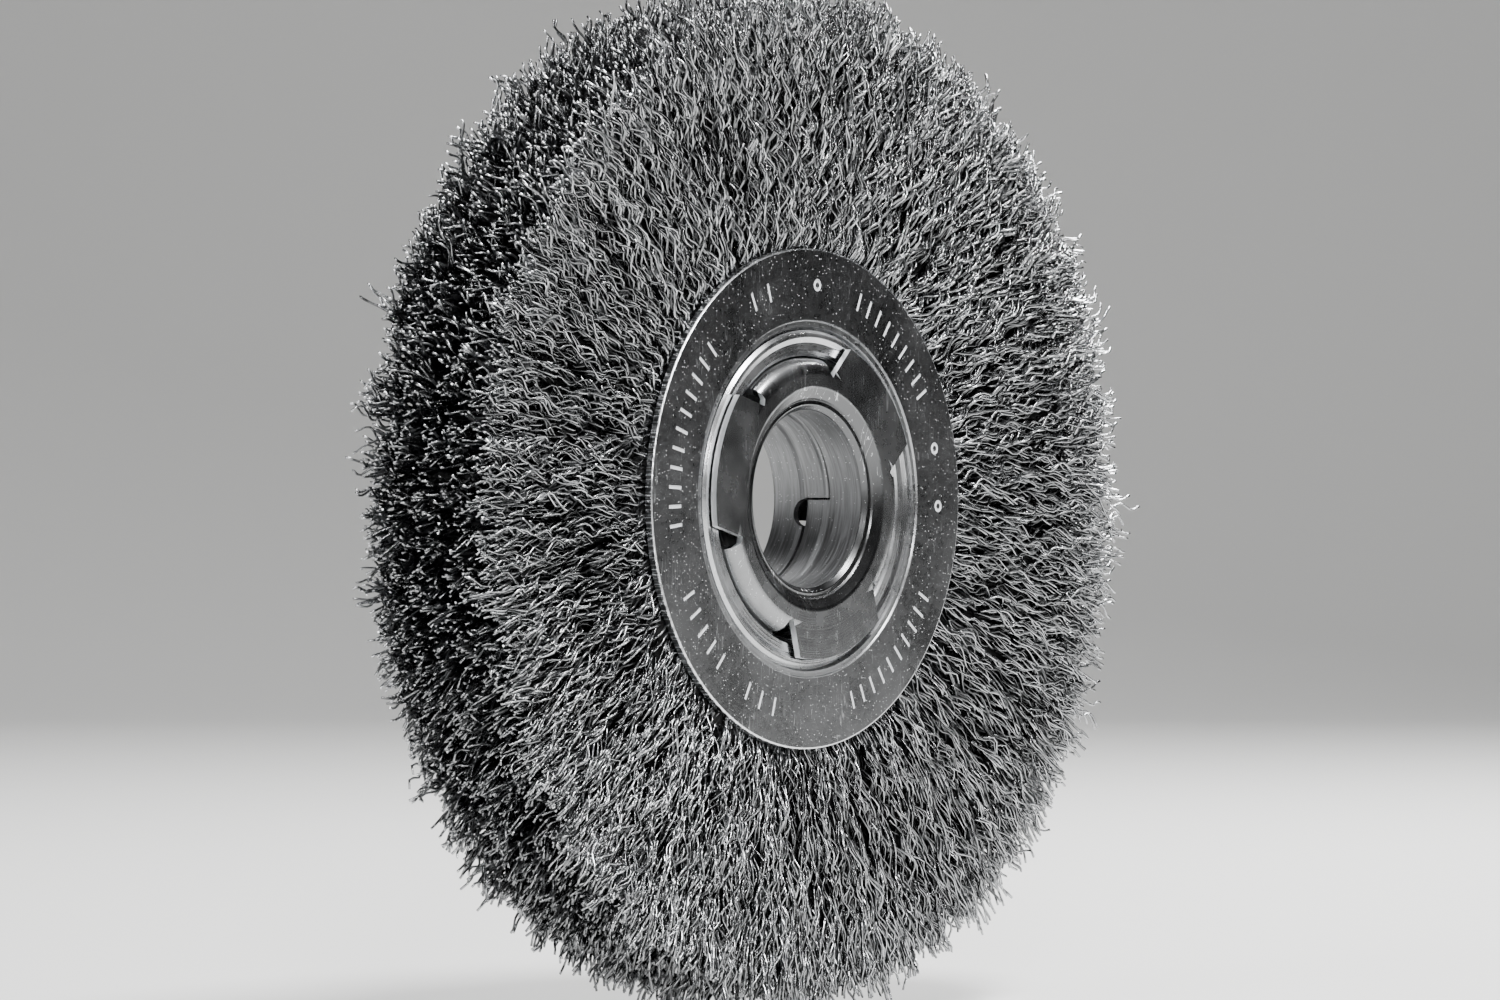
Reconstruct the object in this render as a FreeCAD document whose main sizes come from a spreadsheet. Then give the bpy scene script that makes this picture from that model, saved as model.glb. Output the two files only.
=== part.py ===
import FreeCAD, Part
import os
import re

import Sketcher
from FreeCAD import Placement, Rotation, Vector

# A crimped-wire wheel brush with a pair of reducing adaptors in its bore.
#
# Lengths are in millimetres. The wheel turns about Y, its front faces -Y and +Z is up. The origin is
# the middle of the bore. "Height" below is the distance in front of the wheel's middle plane, and
# angles round the wheel run clockwise from +Z, as seen from the front.
#
# Rear pieces are the front ones turned half a turn about Z, except the rear adaptor, which is turned
# about X and whose collar has round reliefs.

SIZES = [
    ("brush_diameter", 180.0, "over the wire tips"),
    ("rim_width", 25.0, "widest part of the wires"),
    ("rim_tip_width", 20.4, "width left at the very tips, where the corners wear round"),
    ("flare_radius", 62.0, "where the wires reach most of their width"),
    ("flare_width", 21.8, "width there"),
    ("full_radius", 80.0, "where the wires are widest"),
    ("shoulder_radius", 86.5, "where the rounding at the tips starts"),
    ("plate_diameter", 90.0, "face plate"),
    ("plate_width", 21.6, "over the two face plates"),
    ("plate_sheet", 1.4, "thickness of a face plate"),
    ("plate_bore_gap", 0.05, "face plate round the sleeve"),
    ("step_radius", 32.0, "shallow step round the hub"),
    ("step_drop", 0.3, "depth of that step"),
    ("seat_radius", 30.8, "edge of the sunk seat under the sleeve's bead"),
    ("seat_drop", 1.1, "depth of the seat below the plate's front"),
    ("step_slope", 0.2, "width of the step's slope"),
    ("plate_edge_round", 0.3, "rounding of the plate's rim"),
    ("sleeve_bore", 50.8, "bore of the bare brush"),
    ("sleeve_sheet", 1.0, "thickness of the sleeve"),
    ("sleeve_straight", 8.6, "height where the sleeve starts to flare"),
    ("bead_radius", 30.3, "outside of the rolled bead"),
    ("bead_crest_radius", 29.4, "highest circle of the bead"),
    ("bead_dip_radius", 28.1, "shallow dip inside the crest"),
    ("bead_inner_radius", 26.6, "where the bead turns down into the bore"),
    ("bead_height", 10.7, "height of the crest"),
    ("bead_dip", 0.35, "depth of the dip"),
    ("bead_gap", 0.05, "bead above its seat"),
    ("arbor_bore", 32.0, "bore of the adaptors"),
    ("adaptor_sheet", 1.2, "thickness of an adaptor"),
    ("adaptor_height", 12.2, "height of its clamping face"),
    ("adaptor_fit", 0.05, "radial clearance of its lips in the sleeve"),
    ("lip_bend", 3.0, "outside radius of the lips' bend"),
    ("lip_end_height", 6.0, "height of the lips' ends"),
    ("funnel_radius", 19.9, "where the clamping face turns down"),
    ("ledge_radius", 17.7, "ledge inside the funnel"),
    ("ledge_inner_radius", 16.9, "ledge's inner edge"),
    ("ledge_height", 10.9, "height of the ledge"),
    ("bore_mouth_height", 10.0, "height where the straight bore starts"),
    ("tab_reach", 28.8, "radius of the tabs' ends"),
    ("tab_width", 24.0, "between a tab's parallel sides"),
    ("tab_root", 20.2, "where a tab's flat joins the clamping face"),
    ("tab_window", 20.6, "start of the opening in which a tab stands"),
    ("notch_root", 18.9, "inner end of the relief notches"),
    ("notch_root_width", 1.2, "width of a notch at its inner end"),
    ("notch_mouth_rise", 2.1, "radial length of a notch's slanted side"),
    ("notch_mouth_width", 3.2, "width of a notch at the lip"),
    ("notch_outer_width", 5.4, "width of a notch outside the lip"),
    ("finger_reach", 2.6, "long fingers past the middle plane"),
    ("finger_gap", 0.3, "between the ends of facing fingers"),
    ("finger_side_gap", 0.2, "half the gap between neighbouring fingers"),
    ("bite_radius", 2.5, "round relief beside each step of the rear collar"),
    ("ring_radius", 31.0, "core ring, to the middle of its wire"),
    ("ring_wire", 2.8, "thickness of a core ring"),
    ("ring_clearance", 0.05, "wires round the core ring"),
    ("ring_offset", 5.6, "outer core rings from the middle plane"),
    ("wire_inner_radius", 28.3, "inside of the wires' folds"),
    ("middle_row_width", 6.0, "middle row between the plates"),
    ("middle_row_tip_width", 8.2, "middle row at the tips"),
    ("row_gap", 0.05, "between neighbouring rows"),
    ("plate_clearance", 0.1, "wires under the face plates"),
    ("bundle_gap", 0.1, "between neighbouring bundles, in degrees"),
    ("mark_radius", 38.5, "stamped marks, to their middles"),
    ("mark_length", 3.4, "long mark"),
    ("mark_width", 0.6, "long mark's width"),
    ("dot_radius", 1.1, "round mark"),
    ("mark_depth", 0.15, "depth of the marks"),
    ("overrun", 1.0, "by which cutters pass a face"),
]

BUNDLES_PER_ROW = 8
TABS = 3
FIRST_TAB_ANGLE = 45.0
FINGER_PAIRS = 2

# Stamped marks: kind, first angle, angle from one to the next, how many.
MARK_GROUPS = [
    ("bar", 263.0, 5.0, 11),
    ("bar", 335.0, 7.0, 2),
    ("dot", 3.0, 5.0, 1),
    ("bar", 22.0, 4.75, 9),
    ("dot", 76.0, 16.0, 2),
    ("bar", 118.0, 4.8, 10),
    ("bar", 196.0, 6.0, 3),
    ("bar", 222.0, 5.5, 5),
]

doc = FreeCAD.newDocument("wheel_brush")
sheet = doc.addObject("Spreadsheet::Sheet", "Sizes")
ALIASES = {alias for alias, _, _ in SIZES}


def fill_sheet():
    """Put every driving dimension in the sheet under its alias."""
    for row, (alias, number, meaning) in enumerate(SIZES, 1):
        sheet.set(f"A{row}", alias)
        sheet.set(f"B{row}", str(number))
        sheet.set(f"C{row}", meaning)
        sheet.setAlias(f"B{row}", alias)
    doc.recompute()


def bound(expression):
    """Point each alias in an expression at the sheet."""
    return re.sub(
        r"[a-z][a-z_]+", lambda word: "Sizes." + word[0] if word[0] in ALIASES else word[0], expression
    )


def size(expression):
    """Return an expression's present value."""
    return float(sheet.evalExpression(bound(expression)))


def pin(sketch, edge, point, direction, expression):
    """Hold one coordinate of a sketch point at an expression of the sheet."""
    value = size(expression)
    ends = (-1, 1, edge, point)
    sign = ""
    if value < 0:
        ends = (edge, point, -1, 1)
        sign = "-"
    index = sketch.addConstraint(Sketcher.Constraint("Distance" + direction, *ends, abs(value)))
    sketch.setExpression(f"Constraints[{index}]", f"{sign}({bound(expression)})")


def outline(sketch, corners):
    """Join corners, each a pair of expressions, into a closed loop of straight edges."""
    points = [Vector(size(across), size(up), 0) for across, up in corners]
    first = sketch.GeometryCount
    for start, end in zip(points, points[1:] + points[:1]):
        sketch.addGeometry(Part.LineSegment(start, end), False)
    for index, (across, up) in enumerate(corners):
        follower = first + (index + 1) % len(corners)
        sketch.addConstraint(Sketcher.Constraint("Coincident", first + index, 2, follower, 1))
        pin(sketch, first + index, 1, "X", across)
        pin(sketch, first + index, 1, "Y", up)


def circle(sketch, across, up, radius):
    """Draw a circle whose centre and radius are expressions."""
    centre = Vector(size(across), size(up), 0)
    ring = sketch.addGeometry(Part.Circle(centre, Vector(0, 0, 1), size(radius)), False)
    pin(sketch, ring, 3, "X", across)
    pin(sketch, ring, 3, "Y", up)
    index = sketch.addConstraint(Sketcher.Constraint("Radius", ring, size(radius)))
    sketch.setExpression(f"Constraints[{index}]", bound(radius))


def new_body(label, placement=Placement()):
    """Start a body with its label and place."""
    body = doc.addObject("PartDesign::Body", label)
    body.Label = label
    body.Placement = placement
    return body


def origin_feature(body, role):
    """Return one of a body's own origin planes or axes."""
    return next(item for item in body.Origin.OriginFeatures if item.Role == role)


def new_sketch(body, name, role, lift="0", turn=0.0):
    """Attach a sketch to an origin plane, lifted along its normal and turned clockwise in it."""
    sketch = body.newObject("Sketcher::SketchObject", name)
    sketch.AttachmentSupport = (origin_feature(body, role), [""])
    sketch.MapMode = "FlatFace"
    sketch.AttachmentOffset = Placement(Vector(0, 0, size(lift)), Rotation(Vector(0, 0, 1), -turn))
    sketch.setExpression(".AttachmentOffset.Base.z", bound(lift))
    return sketch


def revolve(body, name, corners, holes=(), angle="360"):
    """Turn a section about Y. Its corners are (radius, height) pairs, and it is centred on +X."""
    sketch = new_sketch(body, name + "_section", "XY_Plane")
    outline(sketch, [(radius, f"-({height})") for radius, height in corners])
    for radius, height, hole_radius in holes:
        circle(sketch, radius, f"-({height})", hole_radius)
    feature = body.newObject("PartDesign::Revolution", name)
    feature.Profile = sketch
    feature.ReferenceAxis = (sketch, ["V_Axis"])
    feature.Midplane = True
    feature.setExpression("Angle", bound(angle))
    doc.recompute()
    return feature


def extrude(body, name, kind, sketch, length, reverse=False):
    """Pad or pocket a sketch by a length, and refuse one that changes nothing."""
    before = body.Tip.Shape.Volume
    feature = body.newObject("PartDesign::" + kind, name)
    feature.Profile = sketch
    feature.Type = "Length"
    feature.setExpression("Length", bound(length))
    feature.Reversed = reverse
    doc.recompute()
    if abs(feature.Shape.Volume - before) < 1e-3:
        raise RuntimeError(f"{name} changes nothing")
    return feature


def repeat(body, name, feature, count, angle):
    """Repeat a feature clockwise round Y, over an angle from the first to the last or a full turn."""
    pattern = body.newObject("PartDesign::PolarPattern", name)
    pattern.Originals = [feature]
    pattern.Axis = (origin_feature(body, "Y_Axis"), [""])
    pattern.Angle = angle
    pattern.Occurrences = count
    body.Tip = pattern
    doc.recompute()


def round_rings(body, name, rings, radius):
    """Round the circular edges that lie at the given (radius, height) pairs."""
    wanted = [(size(ring_radius), -size(height)) for ring_radius, height in rings]
    chosen = []
    for number, edge in enumerate(body.Tip.Shape.Edges, 1):
        if not isinstance(edge.Curve, Part.Circle):
            continue
        found = (edge.Curve.Radius, edge.Curve.Center.y)
        if any(abs(found[0] - r) < 1e-3 and abs(found[1] - y) < 1e-3 for r, y in wanted):
            chosen.append(f"Edge{number}")
    if len(chosen) != len(rings):
        raise RuntimeError(f"{name} found {len(chosen)} edges of {len(rings)}")
    feature = body.newObject("PartDesign::Fillet", name)
    feature.Base = (feature.BaseFeature, chosen)
    feature.setExpression("Radius", bound(radius))
    doc.recompute()


def face_plate(label, placement):
    """A pressed plate: flat, with a shallow step and a sunk seat for the sleeve's bead."""
    body = new_body(label, placement)
    front = "plate_width / 2"
    revolve(
        body,
        label + "_disc",
        [
            ("sleeve_bore / 2 + sleeve_sheet + plate_bore_gap", f"{front} - seat_drop"),
            ("seat_radius - step_slope", f"{front} - seat_drop"),
            ("seat_radius + step_slope", f"{front} - step_drop"),
            ("step_radius - step_slope / 2", f"{front} - step_drop"),
            ("step_radius + step_slope / 2", front),
            ("plate_diameter / 2", front),
            ("plate_diameter / 2", f"{front} - plate_sheet"),
            ("seat_radius + 4 * step_slope", f"{front} - plate_sheet"),
            ("seat_radius", f"{front} - plate_sheet - seat_drop"),
            ("sleeve_bore / 2 + sleeve_sheet + plate_bore_gap", f"{front} - plate_sheet - seat_drop"),
        ],
    )
    round_rings(body, label + "_rim", [("plate_diameter / 2", front)], "plate_edge_round")
    for number, (kind, first_angle, pitch, count) in enumerate(MARK_GROUPS, 1):
        name = f"{label}_marks_{number}"
        sketch = new_sketch(body, name + "_outline", "XZ_Plane", front, first_angle)
        if kind == "bar":
            outline(
                sketch,
                [
                    ("-mark_width / 2", "mark_radius - mark_length / 2"),
                    ("mark_width / 2", "mark_radius - mark_length / 2"),
                    ("mark_width / 2", "mark_radius + mark_length / 2"),
                    ("-mark_width / 2", "mark_radius + mark_length / 2"),
                ],
            )
        else:
            circle(sketch, "0", "mark_radius", "dot_radius")
            circle(sketch, "0", "mark_radius", "dot_radius - mark_width")
        mark = extrude(body, name, "Pocket", sketch, "mark_depth")
        if count > 1:
            repeat(body, name + "_row", mark, count, pitch * (count - 1))
    return body


def hub_sleeve():
    """A sheet tube whose two ends are rolled outwards into beads that clamp the face plates."""
    body = new_body("hub_sleeve")
    outside = "sleeve_bore / 2 + sleeve_sheet"
    underside = "plate_width / 2 - seat_drop + bead_gap"
    half = [
        ("sleeve_bore / 2", "sleeve_straight"),
        ("sleeve_bore / 2 + sleeve_sheet / 3", "sleeve_straight + sleeve_sheet"),
        ("bead_inner_radius", "bead_height - bead_dip"),
        ("bead_dip_radius", "bead_height - bead_dip"),
        ("bead_crest_radius - bead_dip", "bead_height"),
        ("bead_crest_radius + bead_dip", "bead_height"),
        ("bead_radius", "bead_height - 1.5 * bead_dip"),
        ("bead_radius", underside),
        (outside, underside),
    ]
    mirrored = [(radius, f"-({height})") for radius, height in reversed(half)]
    revolve(body, "hub_sleeve_tube", half + mirrored)
    return body


def adaptor(label, placement, relieved):
    """A pressed reducing adaptor: clamping face, three tabs, curled lips, funnel and fingered collar."""
    body = new_body(label, placement)
    underside = "adaptor_height - adaptor_sheet"
    lip = "sleeve_bore / 2 - adaptor_fit"
    wall = "arbor_bore / 2"
    revolve(
        body,
        label + "_pressing",
        [
            (lip, "lip_end_height"),
            (lip, "adaptor_height"),
            ("funnel_radius", "adaptor_height"),
            ("ledge_radius", "ledge_height"),
            ("ledge_inner_radius", "ledge_height"),
            (wall, "bore_mouth_height"),
            (wall, "-finger_reach"),
            (f"{wall} + adaptor_sheet", "-finger_reach"),
            (f"{wall} + adaptor_sheet", "bore_mouth_height - adaptor_sheet / 2"),
            ("funnel_radius - adaptor_sheet / 4", underside),
            (f"{lip} - adaptor_sheet", underside),
            (f"{lip} - adaptor_sheet", "lip_end_height"),
        ],
    )
    round_rings(body, label + "_lip_bend", [(lip, "adaptor_height")], "lip_bend")
    round_rings(
        body, label + "_lip_hollow", [(f"{lip} - adaptor_sheet", underside)], "lip_bend - adaptor_sheet"
    )
    round_rings(body, label + "_funnel_crest", [("funnel_radius", "adaptor_height")], "adaptor_sheet")
    round_rings(
        body,
        label + "_mouth",
        [("ledge_inner_radius", "ledge_height"), (wall, "bore_mouth_height")],
        "adaptor_sheet / 3",
    )
    round_rings(body, label + "_finger_ends", [(wall, "-finger_reach")], "adaptor_sheet / 2")

    # The opening round each tab, with a relief notch at both of its sides.
    side = "tab_width / 2"
    right = [
        (side, "tab_window"),
        (side, "notch_root"),
        (f"{side} + notch_root_width", "notch_root"),
        (f"{side} + notch_mouth_width", "notch_root + notch_mouth_rise"),
        (f"{side} + notch_outer_width", "notch_root + 3 * notch_mouth_rise"),
        (f"{side} + notch_outer_width", "tab_reach + overrun"),
    ]
    left = [(f"-({across})", up) for across, up in reversed(right)]
    sketch = new_sketch(
        body, label + "_window_outline", "XZ_Plane", "adaptor_height + overrun", FIRST_TAB_ANGLE
    )
    outline(sketch, right + left)
    window = extrude(
        body, label + "_window", "Pocket", sketch, "adaptor_height - lip_end_height + 2 * overrun"
    )
    repeat(body, label + "_windows", window, TABS, 360)

    sketch = new_sketch(body, label + "_tab_outline", "XZ_Plane", underside, FIRST_TAB_ANGLE)
    tab_end(sketch)
    tab = extrude(body, label + "_tab", "Pad", sketch, "adaptor_sheet")
    repeat(body, label + "_tabs", tab, TABS, 360)

    # Short stretches of the collar, which leave the long fingers standing between them.
    sketch = new_sketch(body, label + "_short_outline", "XZ_Plane", "-(finger_reach + overrun)")
    near = "-finger_side_gap"
    far = f"{wall} + 2 * adaptor_sheet"
    outline(sketch, [(near, near), (far, near), (far, far), (near, far)])
    depth = "2 * finger_reach + overrun + finger_gap"
    short = extrude(body, label + "_short", "Pocket", sketch, depth, True)
    repeat(body, label + "_shorts", short, FINGER_PAIRS, 360)

    if not relieved:
        return body

    # Round reliefs at both ends of each short stretch.
    end = "-(finger_reach + finger_gap)"
    for name, plane, across, up in (
        ("side_bite", "YZ_Plane", end, "bite_radius"),
        ("top_bite", "XY_Plane", "bite_radius", end),
    ):
        sketch = new_sketch(body, f"{label}_{name}_outline", plane)
        circle(sketch, across, up, "bite_radius")
        bite = extrude(body, f"{label}_{name}", "Pocket", sketch, f"{wall} + 2 * adaptor_sheet", True)
        repeat(body, f"{label}_{name}s", bite, FINGER_PAIRS, 360)
    return body


def tab_end(sketch):
    """Draw a tab: two parallel sides, a straight root, and an end that is an arc about the wheel's axis."""
    reach = size("tab_reach")
    half = size("tab_width") / 2
    root = size("tab_root")
    shoulder = (reach**2 - half**2) ** 0.5
    corners = [Vector(half, shoulder), Vector(half, root), Vector(-half, root), Vector(-half, shoulder)]
    for start, end in zip(corners, corners[1:]):
        sketch.addGeometry(Part.LineSegment(start, end), False)
    sketch.addGeometry(Part.Arc(corners[0], Vector(0, reach), corners[3]), False)
    arc = 3
    for edge in (0, 1):
        sketch.addConstraint(Sketcher.Constraint("Coincident", edge, 2, edge + 1, 1))
    sketch.addConstraint(Sketcher.Constraint("Coincident", arc, 1, 0, 1))
    sketch.addConstraint(Sketcher.Constraint("Coincident", arc, 2, 2, 2))
    sketch.addConstraint(Sketcher.Constraint("Coincident", arc, 3, -1, 1))
    index = sketch.addConstraint(Sketcher.Constraint("Radius", arc, reach))
    sketch.setExpression(f"Constraints[{index}]", bound("tab_reach"))
    pin(sketch, 0, 1, "X", "tab_width / 2")
    pin(sketch, 2, 2, "X", "-tab_width / 2")
    for edge in (1, 2):
        pin(sketch, edge, 1, "Y", "tab_root")
    pin(sketch, 1, 1, "X", "tab_width / 2")
    pin(sketch, 2, 1, "X", "-tab_width / 2")


def core_ring(label, offset):
    """A closed hoop of thick wire, over which one row of wires is folded."""
    ring = doc.addObject("Part::Torus", label)
    ring.Label = label
    ring.Placement = Placement(Vector(0, -size(offset), 0), Rotation(Vector(1, 0, 0), 90))
    ring.setExpression("Radius1", bound("ring_radius"))
    ring.setExpression("Radius2", bound("ring_wire / 2"))
    ring.setExpression(".Placement.Base.y", bound(f"-({offset})"))
    return ring


def outer_row_section():
    """The section of a row beside a face plate: clamped flat, then fanning out to a rounded tip."""
    inner = "middle_row_width / 2 + row_gap"
    under_plate = "plate_width / 2 - plate_sheet - plate_clearance"
    return [
        ("wire_inner_radius", inner),
        ("wire_inner_radius", f"{under_plate} - seat_drop"),
        ("seat_radius", f"{under_plate} - seat_drop"),
        ("seat_radius + 5 * step_slope", under_plate),
        ("plate_diameter / 2", under_plate),
        ("flare_radius", "flare_width / 2"),
        ("full_radius", "rim_width / 2"),
        ("shoulder_radius", "rim_width / 2 - row_gap * 8"),
        ("brush_diameter / 2", "rim_tip_width / 2"),
        ("brush_diameter / 2", "middle_row_tip_width / 2 + row_gap"),
        ("plate_diameter / 2", inner),
    ]


def middle_row_section():
    """The section of the middle row: parallel between the plates, then widening to the tips."""
    half = [
        ("wire_inner_radius", "middle_row_width / 2"),
        ("plate_diameter / 2", "middle_row_width / 2"),
        ("brush_diameter / 2", "middle_row_tip_width / 2"),
    ]
    return half + [(radius, f"-({height})") for radius, height in reversed(half)]


def wire_bundle(label, section, ring_height, placement):
    """One bundle of a row of wires, with the core ring's passage through its folds."""
    body = new_body(label, placement)
    passage = ("ring_radius", ring_height, "ring_wire / 2 + ring_clearance")
    revolve(body, label + "_fan", section, [passage], f"360 / {BUNDLES_PER_ROW} - bundle_gap")
    return body


def build():
    """Make every sub-part."""
    fill_sheet()
    as_drawn = Placement()
    turned_round = Placement(Vector(0, 0, 0), Rotation(Vector(0, 0, 1), 180))
    turned_over = Placement(Vector(0, 0, 0), Rotation(Vector(1, 0, 0), 180))
    parts = [
        face_plate("front_face_plate", as_drawn),
        face_plate("rear_face_plate", turned_round),
        hub_sleeve(),
        adaptor("front_adaptor", as_drawn, False),
        adaptor("rear_adaptor", turned_over, True),
        core_ring("front_core_ring", "ring_offset"),
        core_ring("middle_core_ring", "0"),
        core_ring("rear_core_ring", "-ring_offset"),
    ]
    rows = [
        ("front_wires", outer_row_section(), "ring_offset", as_drawn),
        ("middle_wires", middle_row_section(), "0", as_drawn),
        ("rear_wires", outer_row_section(), "ring_offset", turned_round),
    ]
    for row, section, ring_height, facing in rows:
        for number in range(BUNDLES_PER_ROW):
            angle = 360 * number / BUNDLES_PER_ROW
            turn = Placement(Vector(0, 0, 0), Rotation(Vector(0, 1, 0), angle))
            parts.append(wire_bundle(f"{row}_{number + 1}", section, ring_height, turn * facing))
    doc.recompute()
    return parts


def check(parts):
    """Stop if any object failed or any sub-part isn't a sound solid."""
    for item in doc.Objects:
        if "Invalid" in item.State or "Error" in item.State:
            raise RuntimeError(f"{item.Name} failed: {item.State}")
    for part in parts:
        if part.Shape.isNull() or not part.Shape.isValid() or not part.Shape.Solids:
            raise RuntimeError(f"{part.Label} isn't a sound solid")


def write(parts):
    """Write each sub-part to its own STEP file."""
    os.makedirs("parts", exist_ok=True)
    for part in parts:
        part.Shape.exportStep(f"parts/{part.Label}.step")
        print(f"{part.Label}: {len(part.Shape.Solids)} solid, {part.Shape.Volume:.0f} mm3")


subparts = build()
check(subparts)
write(subparts)
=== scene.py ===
"""Looks for the crimped-wire wheel brush: its wires, the finish of its steel parts, and the studio.

The wheel turns about Y, its front faces -Y, +Z is up, and the origin is the middle of the bore.
"""

import math

import bpy
import numpy as np
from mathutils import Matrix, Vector


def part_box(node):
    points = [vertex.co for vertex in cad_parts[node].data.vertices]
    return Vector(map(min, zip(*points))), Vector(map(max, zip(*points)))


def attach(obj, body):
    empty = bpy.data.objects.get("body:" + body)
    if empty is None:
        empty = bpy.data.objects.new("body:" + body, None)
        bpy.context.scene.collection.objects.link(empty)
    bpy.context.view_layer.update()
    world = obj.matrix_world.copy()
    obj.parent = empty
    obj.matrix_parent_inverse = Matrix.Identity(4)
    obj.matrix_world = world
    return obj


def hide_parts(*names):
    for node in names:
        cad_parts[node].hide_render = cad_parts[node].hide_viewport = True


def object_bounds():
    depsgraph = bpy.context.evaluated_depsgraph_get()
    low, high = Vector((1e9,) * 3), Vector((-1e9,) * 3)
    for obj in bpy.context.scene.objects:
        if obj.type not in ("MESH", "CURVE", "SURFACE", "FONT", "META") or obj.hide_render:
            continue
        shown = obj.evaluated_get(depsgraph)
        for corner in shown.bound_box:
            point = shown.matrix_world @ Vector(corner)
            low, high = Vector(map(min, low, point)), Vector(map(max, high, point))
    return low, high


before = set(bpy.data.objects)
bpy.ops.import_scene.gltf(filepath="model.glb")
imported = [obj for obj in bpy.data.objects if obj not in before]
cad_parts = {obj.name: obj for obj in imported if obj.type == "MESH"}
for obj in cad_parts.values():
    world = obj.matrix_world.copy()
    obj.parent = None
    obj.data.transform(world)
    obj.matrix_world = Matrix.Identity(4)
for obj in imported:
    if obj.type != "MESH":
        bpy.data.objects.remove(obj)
cad_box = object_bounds()

MM = 0.001
FULL_TURN = 2 * math.pi

# Sizes taken from the frame.
TIP_RADIUS = cad_box[1].x
PLATE_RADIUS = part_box("front_face_plate")[1].x
PLATE_FRONT = -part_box("front_face_plate")[0].y
RING_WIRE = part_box("middle_core_ring")[1].y
RING_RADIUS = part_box("middle_core_ring")[1].x - RING_WIRE

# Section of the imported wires: distance from the axis, and half the width there.
SECTION_RADII = np.array([28.3, 45.2, 48.0, 56.0, 80.0, 86.5, 91.0]) * MM
SECTION_HALVES = np.array([9.2, 9.5, 10.4, 11.4, 13.2, 13.8, 14.0]) * MM
MIDDLE_ROW_SHARE = 0.33

WIRE_DIAMETER = 0.42 * MM
WIRE_SIDES = 3
WIRE_POINTS = 11
CRIMP_LENGTH = 6.8 * MM
CRIMP_DEPTH = 0.75 * MM
CLUMP = 3
# Depth under the brush's surface at which a wire is painted fully dark, as shade.
PAINTED_SHADE_DEPTH = 2.0 * MM

BUNDLES = 8
# Wires drawn in each bundle: on its face, and round its rim.
FACE_WIRES = 1220
RIM_WIRES = 440
# Where the face's wires start: from under the plate to just short of the tips.
UNDER_PLATE = 9 * MM
SHORT_OF_TIPS = 4 * MM
# Long weak wander of a wire, besides its crimp.
WANDER_LENGTH = 21 * MM
WANDER_DEPTH = 0.35 * MM
# A few rim wires stand out further than the rest.
STRAY_SHARE = 0.02
# Outer radius that gives a three-cornered tube the same mean width as a round wire.
TUBE_RADIUS = WIRE_DIAMETER / 2 * 1.2
# Gap, in radians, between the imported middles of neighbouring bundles, on each side.
SIDE_GAP = 0.002
rng = np.random.default_rng(18025)


# ---------------------------------------------------------------- wires


def half_width(radius):
    """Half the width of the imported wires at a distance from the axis.

    It runs straight between the section's points.
    """
    return np.interp(radius, SECTION_RADII, SECTION_HALVES)


def tip_reach(share, turn):
    """How far the wire tips reach from the axis: less at the two worn corners, more on the two sides of the wheel.

    Three crossing waves, a few millimetres long, gather the tips in tufts.
    """
    corner = np.clip((np.abs(share) - 0.72) / 0.28, 0, 1) ** 2
    tufts = np.sin(97 * turn + 5 * share) * np.sin(61 * turn - 9 * share) + 0.7 * np.sin(143 * turn + 14 * share)
    return TIP_RADIUS + (3.2 * np.sin(turn) ** 2 - 1.0 - 1.0 * corner + 1.8 * tufts) * MM


def clumped(count, spread):
    """One random number per clump of neighbouring wires, repeated for each of its wires."""
    clumps = -(-count // CLUMP)
    return np.repeat(rng.normal(0, spread, clumps), CLUMP)[:count]


def clumped_between(count, low, high):
    """As clumped, but evenly spread between two values."""
    clumps = -(-count // CLUMP)
    return np.repeat(rng.uniform(low, high, clumps), CLUMP)[:count]


def even_pairs(count):
    """Two rows of numbers from 0 to 1 that fill a square evenly, one pair per clump of wires.

    They are the fractional parts of whole numbers over p and over p squared, where p is the real root
    of p cubed = p + 1.
    """
    clumps = -(-count // CLUMP)
    root = 1.32471795724
    steps = np.arange(clumps) + rng.uniform(0, 1000)
    pairs = np.stack([steps / root, steps / root**2]) % 1
    return np.repeat(pairs, CLUMP, axis=1)[:, :count]


def ragged(count):
    """How much further than its neighbours each wire reaches: mostly little, in a few clumps some millimetres."""
    return clumped_between(count, 0, 1) ** 4 * 5.6 * MM - 1.1 * MM + rng.normal(0, 0.35 * MM, count)


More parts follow.
